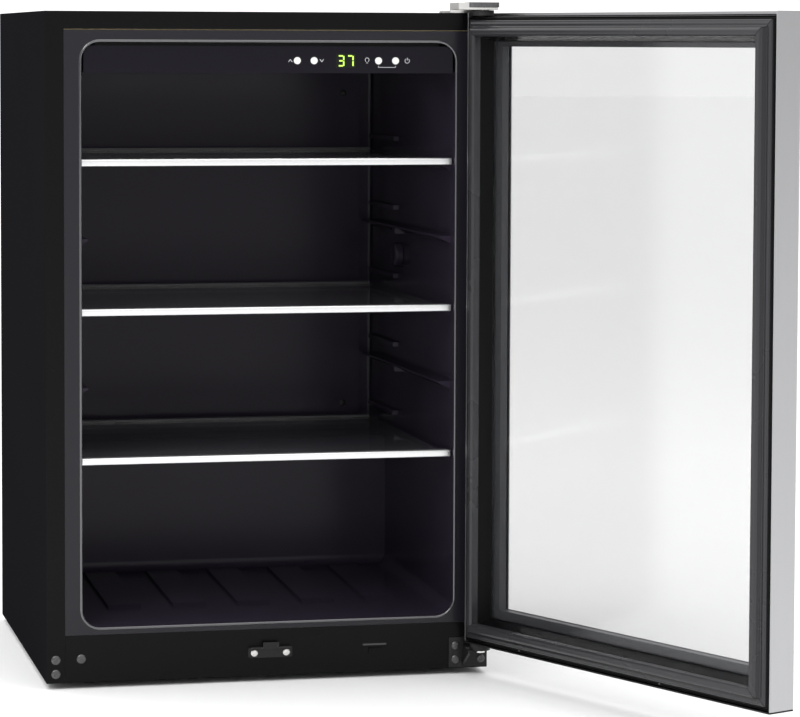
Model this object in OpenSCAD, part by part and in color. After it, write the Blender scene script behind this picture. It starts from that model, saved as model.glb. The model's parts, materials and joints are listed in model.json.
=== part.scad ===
// Compact glass-door beverage fridge, free standing, right hinged.
// Axes: X to the right, Y to the back, Z up. Origin on the floor, in the middle of the left rear foot's sole.
// The cabinet modules are drawn with Y = 0 on the cabinet's front face and Z = 0 on its underside.
// The door modules are drawn shut and are then turned about the hinge pin by door_open.

/* [Cabinet] */
// Width over the side panels
cab_w = 578; // [574:1:584]
// Height of the cabinet without its feet
cab_h = 855; // [853:1:862]
// Depth of the cabinet from its front face to the back panel
cab_d = 530; // [528:1:540]
// Width of the front flange of the steel wrapper
flange_w = 23.5; // [22:0.5:24]
// Thickness of the steel sheet
sheet_t = 1.2; // [1:0.1:1.5]
// Height of the kick panel under the liner
kick_h = 60.5; // [58:0.5:60.5]
// Height of the feet under the cabinet
foot_h = 8; // [6:1:12]

/* [Inside] */
// Half width of the opening at the front face
open_hw = 243.5; // [242:0.5:244]
// Bottom of the opening
open_z0 = 69.5; // [68:0.5:70]
// Top of the opening
open_z1 = 816.5; // [814:0.5:817]
// Corner radius of the opening
open_r = 24; // [18:1:28]
// Half width of the cavity just behind the front edge
wall_front = 246.3; // [245:0.1:247]
// Half width of the cavity at its back
wall_back = 236; // [235:0.5:238]
// Height of the cavity floor at the front
floor_z = 70.2; // [69:0.1:71]
// Height of the cavity floor at the back
floor_back = 82; // [80:0.5:84]
// Height of the cavity ceiling
ceil_z = 817; // [816:0.5:818]
// Distance of the cavity's back wall from the front face
back_y = 476; // [470:1:480]
// Distance of the hump over the compressor bay from the front face
hump_y = 385; // [380:1:390]
// Height of the hump
hump_z = 262; // [255:1:264]
// Wall thickness of the liner
liner_t = 2.5; // [2:0.1:3]

/* [Shelves] */
// Height of the middle of the lowest shelf's trim
shelf_z = 280.5; // [278:0.5:283]
// Height between two rail levels
level_h = 95.5; // [94:0.5:96]
// Depth of a shelf from its front trim to its rear edge
shelf_d = 428; // [420:1:432]
// Thickness of the shelf glass
glass_t = 4; // [3:0.5:4.5]

/* [Door] */
// Angle that the door stands open
door_open = 114; // [0:1:120]
// Thickness of the door without its gasket
door_t = 38; // [36:0.5:40]
// Gap between the cabinet's front face and the door's inner face
door_gap = 12; // [12:0.5:13]
// Width of the stainless frame seen from the front
frame_w = 45; // [43:0.5:46]
// Height of the door's lower edge over the cabinet's underside
door_z0 = 38; // [38:0.5:40]
// Distance of the hinge pin from the cabinet's side
pin_in = 16; // [15.5:0.5:16.5]
// Distance of the hinge pin in front of the cabinet's front face
pin_out = 25.5; // [25:0.5:26]
// Radius of the hinge pins
pin_r = 4; // [3.5:0.1:4.2]

/* [Controls] */
// Radius of a push button
button_r = 4.6; // [4:0.1:5]
// Height of the button row
button_z = 793; // [792:0.5:794]

/* [Condenser] */
// Number of passes of the condenser tube
passes = 14; // [10:1:14]
// Radius of the condenser tube
tube_r = 2.4; // [2:0.1:2.6]

/* [Hidden] */
$fn = 48;
hw = cab_w / 2;
e = 0.05;
door_hw = hw - 0.5;
door_z1 = cab_h;             // top of the stainless frame
in_z1 = cab_h - 3.5;         // top of the black inner frame
pin_x = hw - pin_in;
pin_y = -pin_out;
y_in = -door_gap;            // inner face of the door
y_out = -door_gap - door_t;  // outer face of the door
win_hw = door_hw - frame_w;
win_z0 = door_z0 + frame_w;
win_z1 = door_z1 - frame_w + 2;
bay_y = 414;                 // front of the compressor bay
bay_z = 226;                 // ceiling of the compressor bay
shelf_front = 18;
shelf_levels = [0, 2, 4];
coil_y = cab_d + 11;
foot_x = 230;                // distance of the feet from the middle
fascia_y = 3;
button_x = [35, 57, 141.5, 164];

// ---------- helpers ----------
function arc(cx, cy, r, a0, a1, n = 6) = [for (i = [0:n]) let (a = a0 + (a1 - a0) * i / n) [cx + r * cos(a), cy + r * sin(a)]];
// rounded rectangle, counter-clockwise
function rr(x0, x1, y0, y1, r, n = 6) = concat(
  arc(x1 - r, y0 + r, r, -90, 0, n), arc(x1 - r, y1 - r, r, 0, 90, n),
  arc(x0 + r, y1 - r, r, 90, 180, n), arc(x0 + r, y0 + r, r, 180, 270, n));
function ring_at(pts, y) = [for (p = pts) [p[0], y, p[1]]];
function unit(v) = v / norm(v);

module place() translate([foot_x, -(cab_d - 45), foot_h]) children();
module swing() translate([pin_x, pin_y, 0]) rotate([0, 0, door_open]) translate([-pin_x, -pin_y, 0]) children();
module on_door() place() swing() children();
// extrudes an X-Z outline from y0 to y1
module xz(y0, y1) translate([0, y1, 0]) rotate([90, 0, 0]) linear_extrude(y1 - y0) children();
// extrudes a Y-Z outline from x0 to x1
module yz(x0, x1) translate([x0, 0, 0]) rotate([90, 0, 90]) linear_extrude(x1 - x0) children();
module box(a, b) translate(a) cube(b - a);
module ycyl(x, z, r, y0, y1, f = 48) translate([x, y1, z]) rotate([90, 0, 0]) cylinder(r = r, h = y1 - y0, $fn = f);
module zcyl(x, y, r, z0, z1, f = 48) translate([x, y, z0]) cylinder(r = r, h = z1 - z0, $fn = f);
module mirrored() { children(); mirror([1, 0, 0]) children(); }

function walls(m, n, loop) = [for (k = [0:(loop ? m - 1 : m - 2)], i = [0:n - 1], t = [0, 1])
  let (a = k * n + i, b = k * n + (i + 1) % n, c = ((k + 1) % m) * n + (i + 1) % n, d = ((k + 1) % m) * n + i)
  t == 0 ? [a, b, c] : [a, c, d]];
// closed solid through rings of points
module loft(rings) {
  m = len(rings); n = len(rings[0]);
  polyhedron(points = [for (r = rings) each r],
    faces = concat([[for (i = [n - 1:-1:0]) i]], walls(m, n, false), [[for (i = [0:n - 1]) (m - 1) * n + i]]));
}
// a section of [inset, y] points carried round a rectangle with mitred corners
module mitre_ring(section, rhw, z0, z1) {
  n = len(section);
  pts = concat([for (p = section) [-(rhw - p[0]), p[1], z0 + p[0]]], [for (p = section) [rhw - p[0], p[1], z0 + p[0]]],
    [for (p = section) [rhw - p[0], p[1], z1 - p[0]]], [for (p = section) [-(rhw - p[0]), p[1], z1 - p[0]]]);
  polyhedron(points = pts, faces = walls(4, n, true));
}
function sect(u0, u1, y0, y1) = [[u0, y0], [u1, y0], [u1, y1], [u0, y1]];
// round tube along a path
module tube(path, r, n = 8, ref = [0.31, 0.17, 0.93]) {
  m = len(path);
  rings = [for (k = [0:m - 1])
    let (t = unit(path[min(k + 1, m - 1)] - path[max(k - 1, 0)]), a = unit(cross(t, ref)), b = cross(a, t))
    [for (i = [0:n - 1]) path[k] + r * (cos(360 * i / n) * a + sin(360 * i / n) * b)]];
  loft(rings);
}
// pan-head screw whose head faces the front, with a cross recess
module front_screw(x, z, y, r, head = 2, shank = 6) {
  difference() {
    union() {
      translate([x, y, z]) rotate([90, 0, 0]) rotate_extrude($fn = 40)
        polygon([[0, 0], [r, 0], [r, head * 0.45], [r * 0.8, head * 0.85], [r * 0.45, head], [0, head]]);
      ycyl(x, z, r * 0.42, y - 0.1, y + shank, 24);
    }
    for (q = [45, 135]) translate([x, y - head, z]) rotate([0, q, 0]) cube([r * 1.1, head * 1.1, r * 0.24], center = true);
  }
}

// ---------- cabinet ----------
module cabinet_wrapper() color([0.06, 0.06, 0.065]) place() difference() {
  box([-hw, 0, 0], [hw, cab_d, cab_h]);
  box([-hw + sheet_t, sheet_t, -1], [hw - sheet_t, cab_d + 1, cab_h - sheet_t]);
  box([-hw + flange_w, -1, -1], [hw - flange_w, 3, cab_h - flange_w + 1]);
  box([-hw + flange_w, -1, -1], [hw - flange_w, 3, cab_h - flange_w]);
  // holes for the corner screws
  for (z = [30, 12]) ycyl(-hw + 11.5, z, 2.7, -1, 3, 24);
  // holes for the top hinge's screws
  for (y = [22, 48]) zcyl(hw - 27, y, 2.7, cab_h - 3, cab_h + 1, 24);
  ycyl(hw - 9, 12, 2.7, -1, 3, 24);
}

module back_panel() color([0.16, 0.16, 0.17]) place() difference() {
  box([-hw + sheet_t + 0.1, cab_d - sheet_t, bay_z + 0.8], [hw - sheet_t - 0.1, cab_d, cab_h - sheet_t - 0.1]);
  for (x = [-200, 200], z = [262, 520, 778]) ycyl(x, z, 2.2, cab_d - 3, cab_d + 1, 24);
}

module base_pan() color([0.08, 0.08, 0.085]) place() difference() {
  union() {
    box([-hw + sheet_t + 0.1, sheet_t + 2, 0], [hw - sheet_t - 0.1, cab_d - 0.1, 1.5]);
    // turned-up edges of the pan
    mirrored() box([-hw + sheet_t + 0.1, sheet_t + 2, 1.4], [-hw + sheet_t + 1.6, cab_d - 0.1, 22]);
    // threaded bosses of the front feet
    for (x = [-230, 230]) zcyl(x, 55, 9, 1.4, 12);
  }
  for (x = [-230, 230]) zcyl(x, 55, 4.15, -1, 13);
  for (x = [-230, 230]) zcyl(x, cab_d - 45, 3, -1, 3, 24);
}

module bay_panel() color([0.2, 0.2, 0.21]) place() difference() {
  union() {
    box([-hw + sheet_t + 1.8, bay_y - 1, 1.6], [hw - sheet_t - 1.8, bay_y, bay_z]);
    box([-hw + sheet_t + 1.8, bay_y - 1, bay_z - 1], [hw - sheet_t - 1.8, cab_d - 0.1, bay_z]);
    box([-hw + sheet_t + 1.8, cab_d - 1.1, bay_z - 0.1], [hw - sheet_t - 1.8, cab_d - 0.1, bay_z + 0.6]);
  }
  // drain hole over the drip tray and the hole for the suction line
  zcyl(-40, 470, 7, bay_z - 3, bay_z + 2, 32);
  zcyl(80, 480, 5, bay_z - 3, bay_z + 2, 32);
  zcyl(96, 480, 3, bay_z - 3, bay_z + 2, 32);
}

// the cavity of the liner, grown by g on every side
module cavity(g, y0) {
  function sec(s, z0, z1, r, y) = ring_at(rr(-s - g, s + g, z0 - g, z1 + g, r + g), y);
  ko = [0, 0.45, 0.8, 1];    // how far the rolled edge has turned in
  yo = [0, 1.2, 4, 8];
  loft(concat(
    [sec(open_hw, open_z0, open_z1, open_r, y0)],
    [for (i = [1:3]) sec(open_hw + (wall_front - open_hw) * ko[i], open_z0 + (floor_z - open_z0) * ko[i],
      open_z1 + (ceil_z - open_z1) * ko[i], open_r - 6 * ko[i], yo[i])],
    [sec(wall_back, floor_back, ceil_z, open_r - 8, back_y - 8),
     sec(wall_back - 1.5, floor_back + 1.5, ceil_z - 1.5, open_r - 9, back_y - 2 + g * 0.5),
     sec(wall_back - 5, floor_back + 5, ceil_z - 5, open_r - 11, back_y + g)]));
}
// the hump over the compressor bay: moved back and down by g for the outside of the liner
module hump(g) yz(-hw - 20, hw + 20) polygon(concat(
  [[hump_y - 14 + g, 40], [hump_y - 14 + g, floor_at(hump_y - 14) - g]],
  arc(hump_y - 14, floor_at(hump_y - 14) + 14, 14 + g, -90, 0),
  [for (p = arc(hump_y + 16, hump_z - 16, 16 - g, 180, 90)) p],
  [[back_y + 60, hump_z - g], [back_y + 60, 40]]));

function floor_at(y) = floor_z + (floor_back - floor_z) * (y - 8) / (back_y - 16);
function wall_x(y) = wall_front + (wall_back - wall_front) * (y - 8) / (back_y - 16);
// one shelf rail on the right wall: flat on top, sloping underside, in one straight run along the wall
module rail_bar() translate([wall_x(34), 34, 0]) rotate([0, 0, atan2(wall_x(34) - wall_x(460), 426)])
  rotate([90, 0, 0]) translate([0, 0, -426]) linear_extrude(426) polygon([[1.2, 0], [-15, 0], [-15, -2.2], [-1, -10], [1.2, -10]]);
module rail(z) {
  translate([0, 0, z]) rail_bar();
  // stop bump half way back
  translate([0, 0, z - 11]) linear_extrude(8) polygon([[wall_x(276) + 1.2, 276], [wall_x(280) - 13, 281],
    [wall_x(298) - 13, 298], [wall_x(304) + 1.2, 304]]);
  // anti-tip rib over the rear half
  translate([0, 0, z + 20.3]) linear_extrude(6) polygon([[wall_x(312) + 1.2, 312], [wall_x(316) - 6.5, 316],
    [wall_x(460) - 6.5, 460], [wall_x(460) + 1.2, 460]]);
}

module inner_liner() color([0.05, 0.05, 0.07]) place() {
  difference() {
    union() {
      box([-hw + flange_w + 0.15, 0, kick_h + 0.3], [hw - flange_w - 0.15, liner_t, cab_h - flange_w - 0.15]);
      difference() { cavity(liner_t, 0.4); hump(liner_t); }
    }
    difference() { cavity(0, -1); hump(0); }
    // drain hole through the top of the hump
    zcyl(-40, 462, 5, hump_z - 8, hump_z + 4, 32);
  }
  // shelf rails on both walls
  mirrored() intersection() {
    union() for (k = [0:4]) rail(shelf_z - 2.3 + k * level_h);
    box([150, 8.5, 90], [wall_x(8) + 2, back_y - 8.5, 800]);
  }
  // raised bands of the floor
  for (x = [-172, -86, 0, 86, 172]) yz(x - 21.5, x + 21.5)
    polygon([[112, floor_at(112) - 1], [124, floor_at(124) + 4], [366, floor_at(366) + 4], [371, floor_at(371) - 1]]);
}

module insulation_foam() color([0.86, 0.8, 0.6]) place() difference() {
  box([-hw + sheet_t + 1.8, liner_t + 0.3, 1.8], [hw - sheet_t - 1.8, cab_d - sheet_t - 0.3, cab_h - sheet_t - 0.3]);
  difference() { cavity(liner_t + 0.3, -1); hump(liner_t + 0.3); }
  box([-hw, bay_y - 1.3, 0], [hw, cab_d + 1, bay_z + 0.9]);
  for (x = [-230, 230]) zcyl(x, 55, 9.5, 0, 52);
  // pockets round the screw shanks
  for (p = [[-hw + 11.5, 30], [-hw + 11.5, 12], [-hw + 44, 30.5], [-21, 30], [21, 30], [hw - 43, 30], [hw - 43, 12], [hw - 9, 12]])
    ycyl(p[0], p[1], 3.2, 2, 13, 24);
  for (x = [-200, 200], z = [262, 520, 778]) ycyl(x, z, 2.6, cab_d - 10, cab_d, 24);
  for (y = [22, 48]) zcyl(hw - 27, y, 3.2, cab_h - 10, cab_h, 24);
  zcyl(-40, 466, 8, bay_z - 3, hump_z + 4, 32);
}

module kick_panel() color([0.055, 0.055, 0.06]) place() difference() {
  union() {
    box([-hw + flange_w + 0.2, 0, 0.2], [hw - flange_w - 0.2, 1.5, kick_h]);
    box([-hw + flange_w + 0.2, 1.4, kick_h - 14], [hw - flange_w - 0.2, 2.6, kick_h - 12.8]);
    // hooked tab under the slot
    box([130, -2.2, 29.5], [150, 0.1, 31]);
    box([130, -2.2, 24.5], [133.5, 0.1, 30]);
  }
  box([122.5, -1, 34], [154, 3, 36.4]);
  ycyl(-hw + 44, 30.5, 2.7, -1, 3, 24);
  for (x = [-21, 21]) ycyl(x, 30, 2.1, -1, 3, 24);
  for (z = [12, 30]) ycyl(hw - 43, z, 2.7, -1, 3, 24);
}

module corner_screws() color([0.12, 0.12, 0.12]) place() {
  front_screw(-hw + 11.5, 30, -0.05, 5.8, 2.2, 9);
  front_screw(-hw + 11.5, 12, -0.05, 5.8, 2.2, 9);
  front_screw(-hw + 44, 30.5, -0.05, 5.8, 2.2, 9);
}

module strike_bracket() color([0.13, 0.13, 0.135]) place() difference() {
  union() {
    xz(-1.6, -0.1) polygon(rr(-29, 29, 23.5, 38, 3, 4));
    box([-27, -8, 36], [27, -0.1, 38.4]);
    box([-10.5, -8, 36.6], [10.5, -6.4, 44.4]);
  }
  for (x = [-21, 21]) ycyl(x, 30, 2.2, -3, 1, 24);
}

module strike_screws() color([0.8, 0.8, 0.8]) place() for (x = [-21, 21]) front_screw(x, 30, -1.65, 4.6, 2, 8);

module top_hinge_bracket() color([0.72, 0.72, 0.72]) place() difference() {
  union() {
    box([hw - 53, 1, cab_h + 0.05], [hw - 1, 62, cab_h + 3]);
    box([hw - 53, 1, cab_h + 0.05], [hw - 1, 4, cab_h + 7]);
    box([hw - 53, -44, cab_h + 4], [hw - 1, 4, cab_h + 7]);
    box([hw - 53, -44, cab_h + 4], [hw - 39, 4, cab_h + 13]);
  }
  zcyl(pin_x, pin_y, pin_r, cab_h - 5, cab_h + 20);
  for (y = [22, 48]) zcyl(hw - 27, y, 2.6, cab_h - 1, cab_h + 5, 24);
}

module top_hinge_screws() color([0.6, 0.6, 0.6]) place() for (y = [22, 48]) {
  zcyl(hw - 27, y, 5.5, cab_h + 3.05, cab_h + 5.4, 40);
  zcyl(hw - 27, y, 2.5, cab_h - 8, cab_h + 3.1, 24);
}

module top_hinge_pin() color([0.55, 0.55, 0.56]) place() {
  zcyl(pin_x, pin_y, pin_r - 0.05, in_z1 - 13.9, cab_h + 7.1);
  zcyl(pin_x, pin_y, 7, cab_h + 7.05, cab_h + 8.6, 40);
}

// ribbed cap over the head of the top pin
module top_hinge_cap() color([0.3, 0.3, 0.31]) place() difference() {
  union() {
    translate([0, 0, cab_h + 7.1]) linear_extrude(6.4) polygon(rr(hw - 38.8, hw + 1.5, -45, -12, 5, 5));
    for (i = [0:11]) zcyl(hw - 33 + i * 2.9, -45, 0.8, cab_h + 7.1, cab_h + 12.6, 16);
  }
  zcyl(pin_x, pin_y, 7.3, cab_h + 6, cab_h + 9.4);
}

module bottom_hinge_bracket() color([0.07, 0.07, 0.07]) place() difference() {
  union() {
    box([hw - 52, -2.3, 1.5], [hw - 0.5, -0.1, 35.8]);
    box([hw - 52, -2.3, 1.5], [hw - 27, -0.1, 41]);
    translate([0, 0, 28]) linear_extrude(4) polygon(concat([[hw - 34, -0.1], [hw - 34, pin_y]],
      arc(pin_x, pin_y, 13.5, 180, 360, 12), [[hw - 1.5, -0.1]]));
    // stiffening web under the shelf of the hinge
    yz(hw - 34, hw - 31) polygon([[-2, 4], [-2, 28.5], [-34, 28.5], [-34, 24]]);
  }
  zcyl(pin_x, pin_y, pin_r, 20, 40);
  ycyl(hw - 43, 30, 2.6, -4, 1, 24);
  ycyl(hw - 43, 12, 2.6, -4, 1, 24);
  ycyl(hw - 9, 12, 2.6, -4, 1, 24);
}

module bottom_hinge_screws() color([0.1, 0.1, 0.1]) place() {
  front_screw(hw - 43, 30, -2.35, 5.4, 2.2, 8);
  front_screw(hw - 43, 12, -2.35, 5.4, 2.2, 8);
  front_screw(hw - 9, 12, -2.35, 5.4, 2.2, 8);
}

module bottom_hinge_pin() color([0.6, 0.6, 0.6]) place() {
  zcyl(pin_x, pin_y, pin_r - 0.05, 27.9, door_z0 + 14);
  zcyl(pin_x, pin_y, 6.5, 24.6, 27.95, 40);
}

module thrust_washer() color([0.85, 0.85, 0.82]) place() difference() {
  zcyl(pin_x, pin_y, 13, 32.05, 33.9);
  zcyl(pin_x, pin_y, pin_r + 0.15, 31, 36);
}

module rear_feet() color([0.04, 0.04, 0.04]) place() for (x = [-230, 230]) {
  zcyl(x, cab_d - 45, 17, -foot_h, -2.5);
  zcyl(x, cab_d - 45, 12, -2.55, -0.05);
  zcyl(x, cab_d - 45, 2.8, -0.1, 9, 24);
}

// ---------- controls and light ----------
module control_housing() color([0.05, 0.05, 0.06]) place() difference() {
  union() {
    box([-238, fascia_y + 2.7, 777.2], [238, 78, 811]);
    box([-225, fascia_y + 12, 810], [225, 78, ceil_z - 1]);
  }
  box([-235.5, fascia_y + 1, 779.7], [235.5, 75.5, 808.5]);
  box([-222.5, fascia_y + 14, 800], [222.5, 75.5, ceil_z + 1]);
  box([-70, 42, 776], [70, 60, 782]);
}

module control_fascia() color([0.02, 0.02, 0.03]) place() difference() {
  xz(fascia_y, fascia_y + 2.6) polygon(concat([[-240, 777], [240, 777]], arc(240 - 11, 811.5 - 11, 11, 0, 90), arc(-240 + 11, 811.5 - 11, 11, 90, 180)));
  for (x = button_x) ycyl(x, button_z, button_r + 0.3, fascia_y - 1, fascia_y + 4);
  box([85.5, fascia_y - 1, 783.5], [112, fascia_y + 4, 802]);
}

module display_lens() color([0.02, 0.03, 0.02]) place()
  box([85.6, fascia_y + 0.5, 783.6], [111.9, fascia_y + 2.5, 801.9]);

// one seven-segment digit made of thin bars; on lists which of a..g are lit
module digit(x, on) {
  w = 8.4; h = 14.6; b = 1.9; z = 785.6;
  seg = [[1, h - b, w - 2, b], [w - b, h / 2 + 0.5, b, h / 2 - 1.2], [w - b, 0.7, b, h / 2 - 1.2],
    [1, 0, w - 2, b], [0, 0.7, b, h / 2 - 1.2], [0, h / 2 + 0.5, b, h / 2 - 1.2], [1.6, h / 2 - b / 2, w - 3.9, b]];
  for (i = on) translate([x + seg[i][0] , fascia_y + 0.15, z + seg[i][1]])
    cube([seg[i][2] - (i == 0 || i == 3 ? 1.0 : 0), 0.3, seg[i][3]]);
}
module display_digits() color([0.78, 0.92, 0.2]) place() {
  digit(88.4, [0, 2, 6]);
  translate([0, 0, 0]) digit_bars(88.4);
  digit(100.6, [0, 2]);
  digit_bar(100.6);
}
// the bars that the lists above leave to be drawn shorter, so that no two touch
module digit_bars(x) {
  translate([x + 8.4 - 1.9, fascia_y + 0.15, 785.6 + 7.8 + 0.2]) cube([1.9, 0.3, 5.6]);
  translate([x + 1, fascia_y + 0.15, 785.6]) cube([5.4, 0.3, 1.9]);
}
module digit_bar(x) translate([x + 8.4 - 1.9, fascia_y + 0.15, 785.6 + 7.8 + 0.2]) cube([1.9, 0.3, 5.6]);

module control_board() color([0.05, 0.3, 0.12]) place() {
  box([-10, 16, 782], [190, 17.6, 808]);
  for (x = button_x) box([x - 3, 14.1, button_z - 3], [x + 3, 15.95, button_z + 3]);
  box([84, 8, 784], [114, 15.95, 803]);
}

module led_lens() color([0.92, 0.94, 0.96]) place() {
  box([-69.7, 42.3, 777.8], [69.7, 59.7, 779.9]);
  box([-74, 40, 780.1], [74, 62, 781.6]);
}

// ---------- cold side ----------
module evaporator_plate() color([0.7, 0.72, 0.74]) place() box([-205, 472.3, 290], [205, 473.8, 770]);

module evaporator_cover() color([0.06, 0.06, 0.07]) place() difference() {
  union() {
    xz(469, 471.2) polygon(rr(-218, 218, 268, 811, 8, 5));
    // turned edges that stand on the back wall
    mirrored() box([-218, 470, 278], [-215.8, 475.6, 800]);
  }
  for (x = [-194, 194], z = [300, 744.5]) ycyl(x, z, 2.2, 466, 474, 24);
}

module cover_screws() color([0.35, 0.35, 0.36]) place() for (x = [-194, 194], z = [300, 744.5]) front_screw(x, z, 468.9, 4.4, 1.8, 3.2);

module sensor_cap() color([0.06, 0.06, 0.08]) place() difference() {
  translate([wall_x(298) - 0.45, 298, 523.5]) rotate([0, -90, 0]) rotate_extrude($fn = 48)
    polygon([[0, 0], [17, 0], [17, 8], [15.5, 10.5], [12, 12], [0, 12]]);
  for (k = [-2:2]) box([wall_x(298) - 14, 298 - 9, 523.5 + k * 4.5 - 0.9], [wall_x(298) - 9.5, 298 + 9, 523.5 + k * 4.5 + 0.9]);
}

// ---------- compressor bay ----------
module compressor() color([0.05, 0.05, 0.05]) place() {
  difference() {
    union() {
      translate([-40, 470, 22]) rotate_extrude($fn = 64) polygon([[0, 0], [34, 2], [46, 9], [51.5, 22], [51.5, 50], [53, 52], [53, 56], [51.5, 58],
        [51.5, 84], [48, 100], [38, 112], [22, 119], [0, 121]]);
      // mounting plate
      difference() {
        box([-104, bay_y + 8, 13.5], [24, cab_d - 14, 16.5]);
        for (x = [-95, 15], y = [bay_y + 16, bay_y + 92]) zcyl(x, y, 5.2, 12, 18, 32);
      }
      zcyl(-40, 470, 30, 16.4, 24.5);
    }
  }
}

module compressor_grommets() color([0.03, 0.03, 0.03]) place() for (x = [-95, 15], y = [bay_y + 16, bay_y + 92]) {
  zcyl(x, y, 8, 1.55, 13.45, 32);
  zcyl(x, y, 4.9, 13.4, 18.5, 32);
}

module terminal_box() color([0.85, 0.84, 0.8]) place() box([14, 448, 38], [44, 492, 92]);

module drip_tray() color([0.1, 0.1, 0.1]) place() difference() {
  box([-100, bay_y + 0.1, 155], [20, 518, 176]);
  box([-98, bay_y + 2, 157], [18, 516, 177]);
}

module filter_dryer() color([0.72, 0.42, 0.25]) place() {
  translate([150, 470, 60]) rotate([0, -12, 0]) rotate_extrude($fn = 32)
    polygon([[0, 0], [3, 0], [3.2, 8], [9, 18], [9, 92], [3.2, 102], [3, 110], [0, 110]]);
}

module refrigerant_lines() color([0.72, 0.42, 0.25]) place() {
  top = coil_z0 + coil_p * (passes - 1);
  // discharge line from the compressor up the side of the condenser to its top pass
  tube([[-40, 470, 143.2], [-40, 470, 146], [-36, 474, 148.6], [-20, 492, 148.8], [10, 512, 148.8], [22, 521, 148.8], [26, 523, 152],
    [27, 523, 160], [27, 524, 185], [27, 526, 205], [27, 532, 216], [20, 538, 222], [0, coil_y, 224], [-60, coil_y, 224], [-228, coil_y, 224],
    [-239, coil_y, 228], [-244, coil_y, 240], [-244, coil_y, top - 18], [-240, coil_y, top - 5], [-230, coil_y, top - 0.3], [-coil_hx - 0.6, coil_y, top]], 2.4);
  // suction line from the evaporator
  tube([[14.2, 480, 100], [36, 480, 126], [60, 480, 140], [74, 480, 156], [80, 480, 176], [80, 480, 200], [80, 480, 226.4]], 3);
  // from the bottom pass of the condenser to the dryer
  tube([[127.2, 470, 169], [126, 471, 178], [124, 476, 190], [116, 492, 204], [100, 512, 210], [80, 530, 214], [62, 539, 222], [50, coil_y, 232],
    [38, coil_y, 237], [-60, coil_y, 237], [-218, coil_y, 237], [-225, coil_y, 239], [-227, coil_y, 244], [-223, coil_y, 249], [-coil_hx - 0.6, coil_y, coil_z0]], 2.2);
  // capillary from the dryer to the evaporator
  tube([[150.3, 470, 58.8], [151, 470, 52], [156, 470, 44], [166, 471, 42], [174, 472, 48], [177, 474, 64], [177, 476, 150], [170, 478, 180],
    [150, 480, 196], [120, 480, 200], [102, 480, 204], [96, 480, 214], [96, 480, 226.4]], 1.2);
}

coil_z0 = 250;
coil_p = 40;
coil_hx = 212;
module condenser_coil() color([0.04, 0.04, 0.04]) place() {
  path = [for (k = [0:passes - 1]) let (s = k % 2 == 0 ? 1 : -1, z = coil_z0 + k * coil_p)
    each concat([[-s * coil_hx, coil_y, z], [s * coil_hx, coil_y, z]],
      k == passes - 1 ? [] : [for (i = [1:4]) let (a = -90 + 180 * i / 5) [s * (coil_hx + coil_p / 2 * cos(a)), coil_y, z + coil_p / 2 + coil_p / 2 * sin(a)]])];
  tube(path, tube_r, 8, [0, 1, 0]);
}

module condenser_wires() color([0.05, 0.05, 0.05]) place() for (i = [0:33])
  zcyl(-206.25 + 12.5 * i, coil_y + tube_r + 0.9, 0.75, coil_z0 - 12, coil_z0 + coil_p * (passes - 1) + 12, 16);

module condenser_clips() color([0.08, 0.08, 0.08]) place() for (x = [-200, 200], z = [262, 520, 778]) {
  box([x - 7, cab_d + 0.1, z - 9], [x + 7, coil_y - tube_r - 0.15, z + 9]);
  ycyl(x, z, 2.1, cab_d - 8, cab_d + 0.15, 24);
}

// terminal box with the cord's entry
module cord_gland() color([0.04, 0.04, 0.04]) place() difference() {
  union() {
    box([185, 486, 1.6], [225, 524, 42]);
    ycyl(205, 22, 11, 523.9, 530);
    ycyl(205, 22, 8.5, 529.9, 536);
  }
  ycyl(205, 22, 4, 496, 540);
}

// ---------- door ----------
cup_z0 = 360; cup_z1 = 590;
module door_frame() color([0.72, 0.72, 0.73]) on_door() difference() {
  union() {
    box([-door_hw, y_out, door_z0 + 0.5], [door_hw, y_out + sheet_t, door_z1]);
    mirrored() box([-door_hw, y_out, door_z0 + 0.5], [-door_hw + sheet_t, y_in - 0.5, door_z1]);
    // lips of the side returns
    mirrored() box([-door_hw, y_in - 1.7, door_z0 + 0.5], [-door_hw + 1.5, y_in - 0.5, door_z1]);
  }
  box([-win_hw, y_out - 1, win_z0], [win_hw, y_out + 4, win_z1]);
  // finger slot of the recessed grip
  xz(y_out - 1, y_out + 4) polygon(rr(-door_hw + 6, -door_hw + 26, cup_z0 + 4, cup_z1 - 4, 9, 6));
}

module door_top_cap() color([0.04, 0.04, 0.04]) on_door() difference() {
  box([-door_hw + sheet_t + 0.1, y_out + sheet_t + 0.1, in_z1 - 3], [door_hw - sheet_t - 0.1, y_in - 18.2, in_z1]);
  zcyl(pin_x, pin_y, 6.2, in_z1 - 6, in_z1 + 6);
}

module door_bottom_cap() color([0.04, 0.04, 0.04]) on_door() difference() {
  union() {
    box([-door_hw, y_out, door_z0 - 1.6], [door_hw, y_in, door_z0 + 0.3]);
    box([-door_hw + sheet_t + 0.1, y_out + sheet_t + 0.1, door_z0], [door_hw - sheet_t - 0.1, y_in - 18.2, door_z0 + 4]);
  }
  zcyl(pin_x, pin_y, 6.2, door_z0 - 6, door_z0 + 8);
}

// section of the black inner frame: two ribs, a flat for the gasket, a sloped inner wall and a rear channel
function inner_section() = [[1.8, y_in - 17.6], [1.8, y_in - 0.8], [2.6, y_in], [3.4, y_in - 1.4], [4.2, y_in], [5.4, y_in], [5.8, y_in - 0.8],
  [27, y_in - 0.8], [33.5, y_in - 17.6], [22.5, y_in - 17.6], [22.5, y_in - 4], [5, y_in - 4], [5, y_in - 17.6]];
function rev(l) = [for (i = [len(l) - 1:-1:0]) l[i]];
module door_inner_frame() color([0.05, 0.05, 0.055]) on_door() difference() {
  mitre_ring(rev(inner_section()), door_hw, door_z0 + 0.4, in_z1);
  zcyl(pin_x, pin_y, 6.3, door_z0 - 2, door_z0 + 30);
  zcyl(pin_x, pin_y, 6.3, in_z1 - 30, in_z1 + 2);
}

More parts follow.
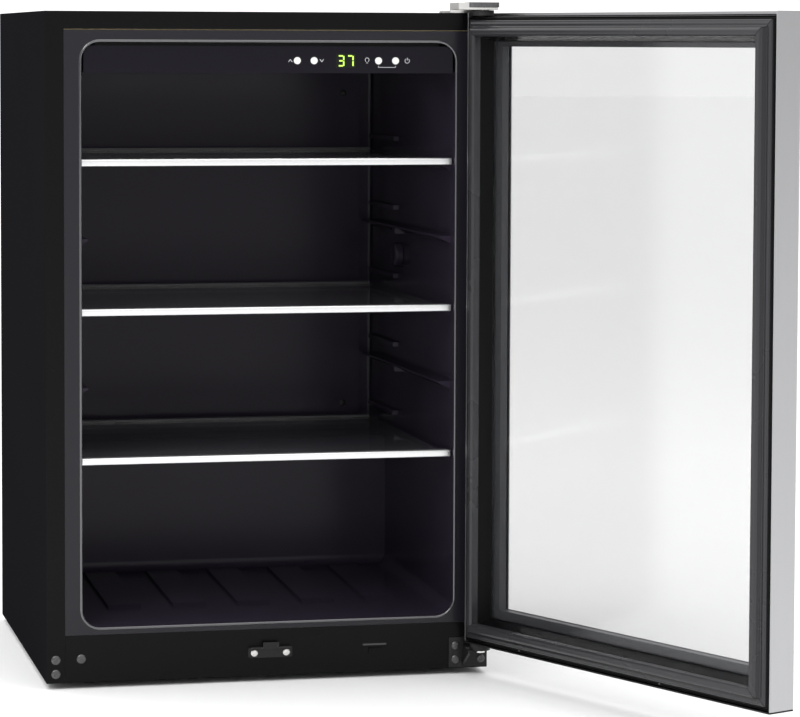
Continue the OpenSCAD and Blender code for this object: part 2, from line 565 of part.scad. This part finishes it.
// small screws along the bottom of the inner frame
module inner_frame_screws() color([0.5, 0.5, 0.52]) on_door()
  for (x = [-95, 175])
    translate([x, y_in + 0.05, door_z0 + 4.5]) rotate([-90, 0, 0]) rotate_extrude($fn = 24) polygon([[0, 0], [1.5, 0], [1.1, 0.6], [0, 0.8]]);

pane_u = 31;
module outer_glass() color([0.75, 0.8, 0.8, 0.4]) on_door()
  box([-door_hw + pane_u, y_out + sheet_t + 0.1, door_z0 + pane_u], [door_hw - pane_u, y_out + sheet_t + 4.1, in_z1 - pane_u + 4]);

module inner_glass() color([0.75, 0.8, 0.8, 0.4]) on_door()
  box([-door_hw + pane_u, y_in - 21.8, door_z0 + pane_u], [door_hw - pane_u, y_in - 17.8, in_z1 - pane_u + 4]);

module glass_spacer() color([0.4, 0.41, 0.42]) on_door()
  mitre_ring(sect(0, frame_w - 33, y_out + sheet_t + 4.2, y_in - 21.9), door_hw - 33, door_z0 + 33, door_z1 + 2 - 33);

// flange, then a rounded magnetic bulb
function gasket_section() = concat([[6, y_in - 0.7], [26.6, y_in - 0.7], [26.6, y_in + 6]],
  arc(22.6, y_in + 7.3, 4, 0, 90, 5), arc(19.6, y_in + 7.3, 4, 90, 180, 5), [[15.6, y_in + 3], [14.5, y_in + 1.9], [7, y_in + 1.6], [6, y_in + 0.6]]);
module door_gasket() color([0.22, 0.22, 0.24]) on_door() difference() {
  mitre_ring(gasket_section(), door_hw, door_z0 + 0.4, in_z1);
  mitre_ring(sect(17.6, 24.6, y_in + 5, y_in + 8.8), door_hw, door_z0 + 0.4, in_z1);
}

module gasket_magnets() color([0.1, 0.1, 0.1]) on_door()
  mitre_ring(sect(17.9, 24.3, y_in + 5.3, y_in + 8.5), door_hw, door_z0 + 0.4, in_z1);

module handle_cup() color([0.05, 0.05, 0.05]) on_door() difference() {
  box([-door_hw + 4.4, y_out + sheet_t + 0.1, cup_z0], [-door_hw + 29.5, y_in - 18, cup_z1]);
  xz(y_out - 1, y_in - 20) polygon(rr(-door_hw + 6, -door_hw + 28, cup_z0 + 2, cup_z1 - 2, 6, 6));
}

module door_bushings() color([0.9, 0.9, 0.88]) on_door() {
  difference() {
    union() {
      zcyl(pin_x, pin_y, 6, door_z0 - 1.7, door_z0 + 18);
      zcyl(pin_x, pin_y, 13, door_z0 - 3.7, door_z0 - 1.65);
    }
    zcyl(pin_x, pin_y, pin_r, door_z0 - 6, door_z0 + 14.5);
  }
  difference() {
    union() {
      zcyl(pin_x, pin_y, 6, in_z1 - 18, in_z1 + 0.1);
      zcyl(pin_x, pin_y, 14, in_z1 + 0.05, in_z1 + 6.9);
    }
    zcyl(pin_x, pin_y, pin_r, in_z1 - 14.5, in_z1 + 8);
  }
}

// ---------- moving parts inside ----------
module push_button(i) color([0.93, 0.93, 0.92]) place() {
  translate([button_x[i], fascia_y + 0.9, button_z]) rotate([90, 0, 0]) rotate_extrude($fn = 40)
    polygon([[0, 0], [button_r, 0], [button_r, 1.7], [button_r - 0.5, 2.2], [0, 2.4]]);
  ycyl(button_x[i], button_z, 2, fascia_y + 0.85, fascia_y + 9.8, 24);
}
module temp_up_button() push_button(0);
module temp_down_button() push_button(1);
module light_button() push_button(2);
module power_button() push_button(3);

// glass panel with a front and a rear edge trim
module shelf(level) place() translate([0, 0, shelf_z + level * level_h]) {
  glass_hw = 233.5;
  color([0.75, 0.8, 0.8, 0.5]) box([-glass_hw, shelf_front + 3, -2], [glass_hw, shelf_front + shelf_d - 2, -2 + glass_t]);
  color([0.86, 0.86, 0.87]) difference() {
    union() {
      yz(-240, 240) polygon(concat([[shelf_front + 12, -4.6]], arc(shelf_front + 2, -2.6, 2, -90, -180, 4), arc(shelf_front + 2, 2.6, 2, 180, 90, 4), [[shelf_front + 12, 4.6]]));
      mirrored() box([-243, shelf_front + 1, -4], [-239.9, shelf_front + 11, 4]);
    }
    box([-glass_hw - 0.2, shelf_front + 2.8, -2.1], [glass_hw + 0.2, shelf_front + 20, -1.9 + glass_t]);
  }
  color([0.3, 0.3, 0.32]) difference() {
    box([-226, shelf_front + shelf_d - 10, -2], [226, shelf_front + shelf_d, 5]);
    box([-glass_hw, shelf_front + shelf_d - 11, -2.1], [glass_hw, shelf_front + shelf_d - 1.9, -1.9 + glass_t]);
  }
}
module upper_shelf() shelf(shelf_levels[2]);
module middle_shelf() shelf(shelf_levels[1]);
module lower_shelf() shelf(shelf_levels[0]);

module levelling_foot(x) color([0.05, 0.05, 0.05]) place() {
  difference() {
    zcyl(x, 55, 17, -foot_h, -1.2);
    for (a = [0:30:330]) translate([x + 17.6 * cos(a), 55 + 17.6 * sin(a), -foot_h - 1]) cylinder(r = 1.6, h = foot_h, $fn = 16);
  }
  zcyl(x, 55, 4.05, -1.3, 46);
}
module left_foot() levelling_foot(-230);
module right_foot() levelling_foot(230);

// ---------- assembly ----------
cabinet_wrapper();
back_panel();
base_pan();
bay_panel();
inner_liner();
insulation_foam();
kick_panel();
corner_screws();
strike_bracket();
strike_screws();
top_hinge_bracket();
top_hinge_screws();
top_hinge_pin();
top_hinge_cap();
bottom_hinge_bracket();
bottom_hinge_screws();
bottom_hinge_pin();
thrust_washer();
rear_feet();
control_housing();
control_fascia();
display_lens();
display_digits();
control_board();
led_lens();
evaporator_plate();
evaporator_cover();
cover_screws();
sensor_cap();
compressor();
compressor_grommets();
terminal_box();
drip_tray();
filter_dryer();
refrigerant_lines();
condenser_coil();
condenser_wires();
condenser_clips();
cord_gland();
door_frame();
door_top_cap();
door_bottom_cap();
door_inner_frame();
inner_frame_screws();
outer_glass();
inner_glass();
glass_spacer();
door_gasket();
gasket_magnets();
handle_cup();
door_bushings();
temp_up_button();
temp_down_button();
light_button();
power_button();
upper_shelf();
middle_shelf();
lower_shelf();
left_foot();
right_foot();
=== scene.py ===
import math
import json

import bpy
from mathutils import Matrix, Vector

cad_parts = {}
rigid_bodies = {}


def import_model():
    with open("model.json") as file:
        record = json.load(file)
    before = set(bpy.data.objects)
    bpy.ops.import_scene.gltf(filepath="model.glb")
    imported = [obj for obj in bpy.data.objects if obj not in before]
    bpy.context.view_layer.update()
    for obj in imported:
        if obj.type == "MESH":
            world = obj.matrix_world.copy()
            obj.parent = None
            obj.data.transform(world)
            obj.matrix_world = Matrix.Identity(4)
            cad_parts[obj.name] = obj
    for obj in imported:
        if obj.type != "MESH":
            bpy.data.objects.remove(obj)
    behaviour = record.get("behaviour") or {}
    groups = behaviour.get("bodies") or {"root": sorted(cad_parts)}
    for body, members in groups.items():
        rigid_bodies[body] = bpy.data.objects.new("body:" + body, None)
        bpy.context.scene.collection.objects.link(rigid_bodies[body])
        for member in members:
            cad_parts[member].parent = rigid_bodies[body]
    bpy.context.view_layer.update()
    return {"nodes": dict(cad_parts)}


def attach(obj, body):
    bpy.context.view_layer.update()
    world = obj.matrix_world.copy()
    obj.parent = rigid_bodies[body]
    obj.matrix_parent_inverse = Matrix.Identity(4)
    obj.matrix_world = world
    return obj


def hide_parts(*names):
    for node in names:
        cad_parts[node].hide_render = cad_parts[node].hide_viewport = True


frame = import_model()
N = frame["nodes"]

# ---------------------------------------------------------------- placing
PIN = (0.503, -0.5105)
OFF = Vector((0.230, -0.220, 0))
OPEN = math.radians(114)


def W(x, y, z):
    """cabinet drawing millimetres to row metres"""
    return Vector(((x + 230) / 1000, (y - 485) / 1000, (z + 8) / 1000))


def D(x, y, z):
    """shut-door drawing millimetres to row metres, with the door open"""
    p = W(x, y, z)
    dx, dy = p.x - PIN[0], p.y - PIN[1]
    c, s = math.cos(OPEN), math.sin(OPEN)
    return Vector((PIN[0] + dx * c - dy * s, PIN[1] + dx * s + dy * c, p.z))


# ---------------------------------------------------------------- materials
def mat(name, color, rough=0.5, metal=0.0, coat=0.0, spec=None, bump=0.0, scale=400.0, stretch=(1, 1, 1), rvar=0.0, cvar=0.0,
        emit=None, power=0.0, sheen=0.0, vscale=None, aniso=0.0, detail=3.0):
    m = bpy.data.materials.new(name)
    m.use_nodes = True
    t = m.node_tree
    b = t.nodes["Principled BSDF"]
    b.inputs["Base Color"].default_value = (*color, 1)
    b.inputs["Roughness"].default_value = rough
    b.inputs["Metallic"].default_value = metal
    b.inputs["Coat Weight"].default_value = coat
    b.inputs["Coat Roughness"].default_value = 0.06
    b.inputs["Anisotropic"].default_value = aniso
    if spec is not None:
        b.inputs["Specular IOR Level"].default_value = spec
    if sheen:
        b.inputs["Sheen Weight"].default_value = sheen
    if emit:
        b.inputs["Emission Color"].default_value = (*emit, 1)
        b.inputs["Emission Strength"].default_value = power
    tc = t.nodes.new("ShaderNodeTexCoord")
    mp = t.nodes.new("ShaderNodeMapping")
    mp.inputs["Scale"].default_value = stretch
    t.links.new(tc.outputs["Object"], mp.inputs["Vector"])
    nz = t.nodes.new("ShaderNodeTexNoise")
    nz.inputs["Scale"].default_value = scale
    nz.inputs["Detail"].default_value = detail
    t.links.new(mp.outputs["Vector"], nz.inputs["Vector"])
    if bump:
        bp = t.nodes.new("ShaderNodeBump")
        bp.inputs["Strength"].default_value = bump
        bp.inputs["Distance"].default_value = 0.0004
        t.links.new(nz.outputs["Fac"], bp.inputs["Height"])
        t.links.new(bp.outputs["Normal"], b.inputs["Normal"])
    if rvar or cvar:
        n2 = t.nodes.new("ShaderNodeTexNoise")
        n2.inputs["Scale"].default_value = vscale or 6.0
        n2.inputs["Detail"].default_value = 5.0
        t.links.new(mp.outputs["Vector"] if vscale else tc.outputs["Object"], n2.inputs["Vector"])
        if rvar:
            mr = t.nodes.new("ShaderNodeMapRange")
            mr.inputs["To Min"].default_value = max(0.02, rough - rvar)
            mr.inputs["To Max"].default_value = min(1.0, rough + rvar)
            t.links.new(n2.outputs["Fac"], mr.inputs["Value"])
            t.links.new(mr.outputs["Result"], b.inputs["Roughness"])
        if cvar:
            mx = t.nodes.new("ShaderNodeMix")
            mx.data_type = "RGBA"
            mx.inputs["A"].default_value = (*[c * (1 - cvar) for c in color], 1)
            mx.inputs["B"].default_value = (*[min(1, c * (1 + cvar)) for c in color], 1)
            t.links.new(n2.outputs["Fac"], mx.inputs["Factor"])
            t.links.new(mx.outputs["Result"], b.inputs["Base Color"])
    return m


def glass(name, tint, rough=0.0, alpha=0.12, metal=0.0):
    m = bpy.data.materials.new(name)
    m.use_nodes = True
    t = m.node_tree
    b = t.nodes["Principled BSDF"]
    b.inputs["Base Color"].default_value = (*tint, 1)
    b.inputs["Roughness"].default_value = rough
    b.inputs["IOR"].default_value = 1.5
    b.inputs["Metallic"].default_value = metal
    b.inputs["Alpha"].default_value = alpha
    return m


BLACK = mat("black_powder_coat", (0.0032, 0.0032, 0.0037), 0.28, spec=0.10, bump=0.12, scale=900, rvar=0.05, cvar=0.08)
BLACK_STEEL = mat("black_oxide_steel", (0.010, 0.010, 0.010), 0.34, spec=0.35, metal=0.2, bump=0.08, scale=700, rvar=0.08)
SCREW = mat("black_zinc_screw", (0.10, 0.10, 0.10), 0.3, metal=0.8, rvar=0.08)
GROOVE = mat("groove_shadow", (0.003, 0.003, 0.003), 0.7, spec=0.1)
GREY_STEEL = mat("grey_painted_steel", (0.10, 0.10, 0.105), 0.45, bump=0.08, scale=700, rvar=0.06, cvar=0.08)
GALV = mat("galvanised_steel", (0.42, 0.43, 0.44), 0.42, metal=0.85, rvar=0.14, cvar=0.18, bump=0.04, scale=120)
ZINC = mat("zinc_plate", (0.78, 0.77, 0.75), 0.28, metal=1.0, rvar=0.08, cvar=0.05, bump=0.05, scale=500)
STAINLESS = mat("brushed_stainless", (0.45, 0.45, 0.46), 0.34, metal=1.0, bump=0.10, scale=260, stretch=(6, 6, 0.05), rvar=0.06, vscale=160, aniso=0.5)
# the inside sheet is about twice as light as the liner's front face: painted light against the shade inside the cabinet
LINER_PAINTED_LIGHTER = mat("liner_sheet_painted_lighter", (0.024, 0.019, 0.031), 0.20, spec=0.14, bump=0.06, scale=500, rvar=0.05, cvar=0.06)
PLASTIC = mat("black_plastic", (0.006, 0.006, 0.007), 0.42, spec=0.3, bump=0.2, scale=1300, rvar=0.05)
PLASTIC_GLOSS = mat("black_satin_plastic", (0.003, 0.003, 0.0034), 0.24, spec=0.10, bump=0.05, scale=900, rvar=0.04)
GREY_PLASTIC = mat("grey_plastic", (0.10, 0.10, 0.105), 0.45, bump=0.12, scale=900, rvar=0.05)
SPACER = mat("spacer_bar", (0.048, 0.049, 0.054), 0.45, metal=0.0, spec=0.3, bump=0.03, scale=300, rvar=0.04)
WHITE = mat("white_button", (0.83, 0.83, 0.81), 0.25, coat=0.3, rvar=0.03)
FASCIA = mat("gloss_fascia", (0.008, 0.007, 0.011), 0.10, spec=0.12, rvar=0.02)
LENS = mat("display_window", (0.004, 0.006, 0.004), 0.05, spec=0.3, rvar=0.01)
BOARD = mat("solder_mask", (0.02, 0.16, 0.06), 0.35, bump=0.15, scale=600, rvar=0.06)
ALU = mat("mill_aluminium", (0.72, 0.73, 0.75), 0.35, metal=1.0, rvar=0.1, bump=0.06, scale=300, stretch=(1, 1, 8))
COPPER = mat("drawn_copper", (0.72, 0.32, 0.18), 0.3, metal=1.0, rvar=0.1, cvar=0.12)
RUBBER = mat("black_rubber", (0.018, 0.018, 0.018), 0.7, bump=0.15, scale=900, rvar=0.05)
GASKET = mat("vinyl_gasket", (0.026, 0.026, 0.029), 0.28, spec=0.42, bump=0.05, scale=600, rvar=0.05)
MAGNET = mat("magnet_strip", (0.03, 0.03, 0.03), 0.7)
FOAM = mat("rigid_foam", (0.70, 0.58, 0.33), 0.85, bump=0.5, scale=350, cvar=0.1)
DIGIT = mat("lit_digits", (0.4, 0.6, 0.08), 0.4, emit=(0.50, 0.80, 0.09), power=0.85)
LED = mat("frosted_lens", (0.86, 0.88, 0.9), 0.5, rvar=0.05)
ICON_WITH_PAINTED_GLOW = mat("panel_print_painted_glow", (0.55, 0.56, 0.58), 0.4, emit=(0.6, 0.62, 0.65), power=0.25)
TRIM = mat("bright_shelf_trim", (0.80, 0.80, 0.81), 0.25, metal=0.85, rvar=0.04, bump=0.03, scale=300, stretch=(0.1, 1, 1))
TRIM_REAR = mat("rear_shelf_trim", (0.05, 0.05, 0.055), 0.4, metal=0.2, rvar=0.04)
DOOR_GLASS = glass("door_glass", (0.26, 0.262, 0.27), 0.09, 0.12, 0.9)
SHELF_GLASS = glass("shelf_glass", (0.085, 0.085, 0.092), 0.03, 0.34)
# lighter, reflection-free copy of the black coat for the wrapper's sides: painted light
SIDE_PAINTED_LIGHT = mat("black_coat_sides_painted_lighter", (0.0095, 0.0095, 0.011), 0.6, spec=0.0, bump=0.15, scale=900, cvar=0.08)
FACE = mat("liner_face", (0.012, 0.011, 0.015), 0.24, spec=0.26, bump=0.05, scale=500, rvar=0.04)
LIP = mat("liner_lip", (0.022, 0.021, 0.027), 0.14, spec=1.0, coat=1.0, rvar=0.03)
SLOT_PAINTED_HIGHLIGHT = mat("slot_painted_highlight", (0.13, 0.13, 0.13), 0.5)

ASSIGN = {
    BLACK: "cabinet_wrapper kick_panel",
    SCREW: "corner_screws bottom_hinge_screws inner_frame_screws",
    BLACK_STEEL: "cover_screws base_pan strike_bracket bottom_hinge_bracket compressor condenser_coil condenser_wires",
    GREY_STEEL: "back_panel",
    GALV: "bay_panel",
    ZINC: "strike_screws top_hinge_bracket top_hinge_screws top_hinge_pin bottom_hinge_pin",
    STAINLESS: "door_frame",
    LINER_PAINTED_LIGHTER: "inner_liner evaporator_cover sensor_cap",
    PLASTIC: "rear_feet control_housing drip_tray condenser_clips cord_gland door_top_cap door_bottom_cap handle_cup left_foot right_foot",
    PLASTIC_GLOSS: "door_inner_frame",
    GREY_PLASTIC: "top_hinge_cap",
    SPACER: "glass_spacer",
    WHITE: "temp_up_button temp_down_button light_button power_button terminal_box",
    FASCIA: "control_fascia",
    LENS: "display_lens",
    BOARD: "control_board",
    ALU: "evaporator_plate",
    COPPER: "filter_dryer refrigerant_lines",
    RUBBER: "compressor_grommets door_bushings thrust_washer",
    GASKET: "door_gasket",
    MAGNET: "gasket_magnets",
    FOAM: "insulation_foam",
    DIGIT: "display_digits",
    LED: "led_lens",
    DOOR_GLASS: "outer_glass inner_glass",
}


def put(node, m):
    o = N[node]
    o.data.materials.clear()
    o.data.materials.append(m)


for m, names in ASSIGN.items():
    for n in names.split():
        put(n, m)


def islands(mesh):
    """label of the connected piece that each vertex belongs to, joining vertices at the same place"""
    parent = list(range(len(mesh.vertices)))

    def find(a):
        while parent[a] != a:
            parent[a] = parent[parent[a]]
            a = parent[a]
        return a
    seen = {}
    for v in mesh.vertices:
        k = (round(v.co.x, 6), round(v.co.y, 6), round(v.co.z, 6))
        if k in seen:
            parent[find(v.index)] = find(seen[k])
        else:
            seen[k] = v.index
    for e in mesh.edges:
        parent[find(e.vertices[0])] = find(e.vertices[1])
    return [find(i) for i in range(len(parent))]


# the liner's flat front face is glossier and darker than its inside; the inside sheet is a lighter copy, painted light
# against the shade inside the cabinet
me = N["inner_liner"].data
me.materials.append(FACE)
for p in me.polygons:
    if p.normal.y < -0.97 and p.center.y < W(0, 0.5, 0).y:
        p.material_index = 1

# the wrapper's sides take a lighter, reflection-free copy of its black coat: painted light on the side faces
me = N["cabinet_wrapper"].data
me.materials.append(SIDE_PAINTED_LIGHT)
for p in me.polygons:
    if abs(p.normal.x) > 0.97:
        p.material_index = 1

# the shelf nodes hold a pane, a front trim and a rear trim
for n in ("upper_shelf", "middle_shelf", "lower_shelf"):
    me = N[n].data
    me.materials.clear()
    for m in (SHELF_GLASS, TRIM, TRIM_REAR):
        me.materials.append(m)
    lab = islands(me)
    box = {}
    for v in me.vertices:
        b = box.setdefault(lab[v.index], [1e9, -1e9, 1e9, -1e9])
        b[0], b[1] = min(b[0], v.co.y), max(b[1], v.co.y)
    for p in me.polygons:
        b = box[lab[p.vertices[0]]]
        p.material_index = 0 if b[1] - b[0] > 0.2 else (1 if b[0] < W(0, 200, 0).y else 2)


def refine(node, w=0.0, seg=2):
    """smooth shading over curves with crisp edges, and rounded edges of width w"""
    o = N[node]
    for p in o.data.polygons:
        p.use_smooth = True
    m = o.modifiers.new("weld", "WELD")
    m.merge_threshold = 0.000002
    if w:
        d = o.modifiers.new("planar", "DECIMATE")
        d.decimate_type = "DISSOLVE"
        d.angle_limit = math.radians(0.6)
        b = o.modifiers.new("edge", "BEVEL")
        b.width = w
        b.segments = seg
        b.limit_method = "ANGLE"
        b.angle_limit = math.radians(32)
    e = o.modifiers.new("crisp", "EDGE_SPLIT")
    e.split_angle = math.radians(33)
    k = o.modifiers.new("flat_faces", "WEIGHTED_NORMAL")
    k.weight = 95


WIDE = {"cabinet_wrapper": 0.0009, "door_frame": 0.0004, "top_hinge_bracket": 0.0006, "bottom_hinge_bracket": 0.0006, "inner_liner": 0.0009,
        "strike_bracket": 0.0004, "kick_panel": 0.0004, "outer_glass": 0.0005, "inner_glass": 0.0005, "handle_cup": 0.0005,
        "control_fascia": 0.0005, "terminal_box": 0.002, "evaporator_cover": 0.0006, "door_inner_frame": 0.0004, "door_bottom_cap": 0.0006,
        "control_housing": 0.0008, "drip_tray": 0.0008, "cord_gland": 0.0008, "top_hinge_cap": 0.0004, "back_panel": 0.0003}
for n in N:
    if n not in ("insulation_foam", "door_gasket"):
        refine(n, WIDE.get(n, 0.0))

# ---------------------------------------------------------------- pieces
def mesh(name, verts, faces, m, smooth=False):
    me = bpy.data.meshes.new(name)
    me.from_pydata([tuple(v) for v in verts], [], faces)
    me.update()
    o = bpy.data.objects.new(name, me)
    bpy.context.scene.collection.objects.link(o)
    me.materials.append(m)
    if smooth:
        for p in me.polygons:
            p.use_smooth = True
    return o


def slabs(name, quads, y0, y1, m, body="cabinet"):
    """flat prisms: each quad is four (x, z) points in cabinet millimetres"""
    v, f = [], []
    for q in quads:
        k = len(v)
        n = len(q)
        v += [W(x, y0, z) for x, z in q] + [W(x, y1, z) for x, z in q]
        f += [tuple(range(k, k + n)), tuple(range(k + 2 * n - 1, k + n - 1, -1))]
        f += [(k + i, k + n + i, k + n + (i + 1) % n, k + (i + 1) % n) for i in range(n)]
    o = mesh(name, v, f, m)
    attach(o, body)
    return o


def bar(x0, z0, x1, z1, w):
    d = Vector((x1 - x0, z1 - z0)).normalized()
    n = Vector((-d.y, d.x)) * w / 2
    return [(x0 + n.x, z0 + n.y), (x1 + n.x, z1 + n.y), (x1 - n.x, z1 - n.y), (x0 - n.x, z0 - n.y)]


def ringbars(cx, cz, r, w, a0, a1, n=10):
    p = [(cx + r * math.cos(math.radians(a0 + (a1 - a0) * i / n)), cz + r * math.sin(math.radians(a0 + (a1 - a0) * i / n))) for i in range(n + 1)]
    return [bar(*p[i], *p[i + 1], w) for i in range(n)]


# rolled bead round the liner's opening
def outline(hw, z0, z1, rad, n=10):
    pts = []
    for cx, cz, a in ((hw - rad, z0 + rad, -90), (hw - rad, z1 - rad, 0), (-hw + rad, z1 - rad, 90), (-hw + rad, z0 + rad, 180)):
        pts += [(cx + rad * math.cos(math.radians(a + 90 * i / n)), cz + rad * math.sin(math.radians(a + 90 * i / n)),
                 math.radians(a + 90 * i / n)) for i in range(n + 1)]
    return pts


def bead(name, pts, y, rad, m, body="cabinet", k=12):
    v, f = [], []
    n = len(pts)
    for x, z, a in pts:
        for j in range(k):
            b = 2 * math.pi * j / k
            v.append(W(x + rad * math.cos(b) * math.cos(a), y + rad * math.sin(b), z + rad * math.cos(b) * math.sin(a)))
    for i in range(n):
        for j in range(k):
            f.append((i * k + j, i * k + (j + 1) % k, ((i + 1) % n) * k + (j + 1) % k, ((i + 1) % n) * k + j))
    o = mesh(name, v, f, m, True)
    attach(o, body)
    return o


bead("liner_lip", outline(244.6, 68.4, 817.6, 25), 0.9, 1.9, LIP)
# grey sheet in the kick panel's slot: a painted highlight standing in for the slot's bright edge
slabs("slot_painted_highlight", [[(121, 33), (156, 33), (156, 37.5), (121, 37.5)]], 1.7, 2.4, SLOT_PAINTED_HIGHLIGHT)

# the gasket, with a fuller section than its CAD solid: lipped flange, groove and rounded bulb, mitred at the corners
def frame_sweep(name, section, m, body="door", hw=288.5, z0=38.4, z1=851.5):
    v, f = [], []
    n = len(section)
    for side in range(4):
        k = len(v)
        for end in range(2):
            for u, y in section:
                x0, x1, a, b = -(hw - u), hw - u, z0 + u, z1 - u
                x, z = [((x0, a), (x1, a)), ((x1, a), (x1, b)), ((x1, b), (x0, b)), ((x0, b), (x0, a))][side][end]
                v.append(D(x, y, z))
        f += [(k + i, k + (i + 1) % n, k + n + (i + 1) % n, k + n + i) for i in range(n)]
    o = mesh(name, v, f, m, True)
    e = o.modifiers.new("crisp", "EDGE_SPLIT")
    e.split_angle = math.radians(40)
    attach(o, body)
    return o


def arcp(cx, cy, rad, a0, a1, n=8):
    return [(cx + rad * math.cos(math.radians(a0 + (a1 - a0) * i / n)), cy + rad * math.sin(math.radians(a0 + (a1 - a0) * i / n))) for i in range(n + 1)]


sec = [(6, -12.7), (26.6, -12.7), (26.8, -9.5), (26.0, -8.2)] + arcp(22.8, -4.5, 3.7, 0, 90) + [(21.1, -1.2)] + arcp(19.5, -4.7, 3.9, 90, 180) + \
    [(15.2, -7.4), (14.6, -9.2), (13.4, -9.9), (11.6, -9.4), (9.6, -9.3), (8.4, -10.0), (7.4, -9.9), (6.2, -10.8)]
gasket = frame_sweep("gasket_lip_and_bulb", sec, GASKET)
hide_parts("door_gasket")

# welded mitres at the gasket's corners, drawn as near-black sheets: the joint line with painted shade in it
v, f = [], []
for sx, zc, sz in ((-1, 38.4, 1), (1, 38.4, 1), (1, 851.5, -1), (-1, 851.5, -1)):
    k, n = len(v), len(sec)
    for side in (-0.2, 0.2):
        v += [D(sx * (288.5 - q) + sx * side, y + (0.12 if y > -12 else 0), zc + sz * q + sz * side) for q, y in sec]
    f += [tuple(range(k, k + n)), tuple(range(k + 2 * n - 1, k + n - 1, -1))]
    f += [(k + i, k + n + i, k + n + (i + 1) % n, k + (i + 1) % n) for i in range(n)]
mitres = mesh("gasket_mitres", v, f, GROOVE)
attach(mitres, "door")

# generic printed icons: up, down, a lamp, a power ring and a bracket; the print is given a faint painted glow
icons = [bar(23.6, 791.2, 26, 794.6, 0.7), bar(26, 794.6, 28.4, 791.2, 0.7), bar(64.6, 794.8, 67, 791.4, 0.7), bar(67, 791.4, 69.4, 794.8, 0.7)]
icons += ringbars(126.5, 794.2, 2.6, 0.6, -60, 240) + [bar(125.3, 790.3, 127.7, 790.3, 0.7)]
icons += ringbars(179.5, 793, 3.0, 0.6, 125, 415) + [bar(179.5, 793.6, 179.5, 797, 0.7)]
icons += [bar(141.5, 784.6, 164, 784.6, 0.5), bar(141.5, 784.6, 141.5, 786.6, 0.5), bar(164, 784.6, 164, 786.6, 0.5)]
slabs("panel_icons", icons, 2.86, 3.0, ICON_WITH_PAINTED_GLOW)

# ---------------------------------------------------------------- stage, light, camera
def plane(name, co, m):
    o = mesh(name, co, [(0, 1, 2, 3)], m)
    return o


FLOOR = mat("pale_floor", (0.95, 0.95, 0.95), 0.7, spec=0.2)
plane("floor", [(-45, -45, 0), (45, -45, 0), (45, 45, 0), (-45, 45, 0)], FLOOR)

world = bpy.data.worlds.new("studio")
bpy.context.scene.world = world
world.use_nodes = True
wt = world.node_tree
bg = wt.nodes["Background"]
wtc = wt.nodes.new("ShaderNodeTexCoord")


def card(direction, full, edge, value):
    """a soft round card of light in the surroundings; full and edge are half angles in degrees"""
    d = wt.nodes.new("ShaderNodeVectorMath")
    d.operation = "DOT_PRODUCT"
    d.inputs[1].default_value = Vector(direction).normalized()
    wt.links.new(wtc.outputs["Generated"], d.inputs[0])
    m = wt.nodes.new("ShaderNodeMapRange")
    m.interpolation_type = "SMOOTHSTEP"
    m.inputs["From Min"].default_value = math.cos(math.radians(edge))
    m.inputs["From Max"].default_value = math.cos(math.radians(full))
    m.inputs["To Max"].default_value = value
    wt.links.new(d.outputs["Value"], m.inputs["Value"])
    return m.outputs["Result"]


total = None
for c in (((0, 0, 1), 5, 92, 1.3), ((0.42, 0.9, 0.0), 24, 36, 1.12), ((-0.9, 0.44, 0.0), 30, 56, 0.95), ((0.85, -0.5, 0.25), 10, 45, 0.5),
          ((0.1, -1, 0.22), 6, 34, 0.6)):
    o = card(*c)
    if total is None:
        total = o
    else:
        a = wt.nodes.new("ShaderNodeMath")
        wt.links.new(total, a.inputs[0])
        wt.links.new(o, a.inputs[1])
        total = a.outputs[0]
a = wt.nodes.new("ShaderNodeMath")
a.inputs[1].default_value = 0.16
wt.links.new(total, a.inputs[0])
wt.links.new(a.outputs[0], bg.inputs["Strength"])
bg.inputs["Color"].default_value = (1, 1, 1, 1)


def area(name, loc, target, size, power, sy=None):
    d = bpy.data.lights.new(name, "AREA")
    d.shape = "RECTANGLE"
    d.size = size
    d.size_y = sy or size
    d.energy = power
    o = bpy.data.objects.new(name, d)
    bpy.context.scene.collection.objects.link(o)
    o.location = Vector(loc) + OFF
    o.rotation_euler = (Vector(target) - Vector(loc)).to_track_quat("-Z", "Y").to_euler()
    return o


area("key", (-2.2, -3.2, 3.2), (0, 0, 0.45), 1.4, 55)
area("top", (0.2, -0.2, 3.6), (0.1, -0.1, 0.4), 3.0, 34)
lamp = W(0, 100, 764) - OFF
area("inside", lamp, lamp + Vector((0, 0.12, -0.5)), 0.40, 0.20, 0.02)

cam_d = bpy.data.cameras.new("camera")
cam_d.sensor_width = 36
cam_d.lens = 149.15
cam_d.shift_y = -0.125
cam_d.clip_end = 60
cam = bpy.data.objects.new("camera", cam_d)
bpy.context.scene.collection.objects.link(cam)
yaw, pitch, roll = (math.radians(a) for a in (12.931, 3.728, 0.216))
w = Vector((math.sin(yaw) * math.cos(pitch), math.cos(yaw) * math.cos(pitch), -math.sin(pitch)))
r = Vector((math.cos(yaw), -math.sin(yaw), 0))
u = r.cross(w)
r2 = r * math.cos(roll) + u * math.sin(roll)
u2 = -r * math.sin(roll) + u * math.cos(roll)
cam.matrix_world = Matrix(((r2.x, u2.x, -w.x, -0.7871 + OFF.x), (r2.y, u2.y, -w.y, -4.4345 + OFF.y), (r2.z, u2.z, -w.z, 0.8246), (0, 0, 0, 1)))
bpy.context.scene.camera = cam
bpy.context.scene.view_settings.view_transform = "Standard"

bpy.context.view_layer.update()
lo, hi = [1e9] * 3, [-1e9] * 3
for o in bpy.context.scene.objects:
    if o.type == "MESH" and o.name != "floor":
        for c in o.bound_box:
            p = o.matrix_world @ Vector(c)
            for i in range(3):
                lo[i], hi[i] = min(lo[i], p[i]), max(hi[i], p[i])
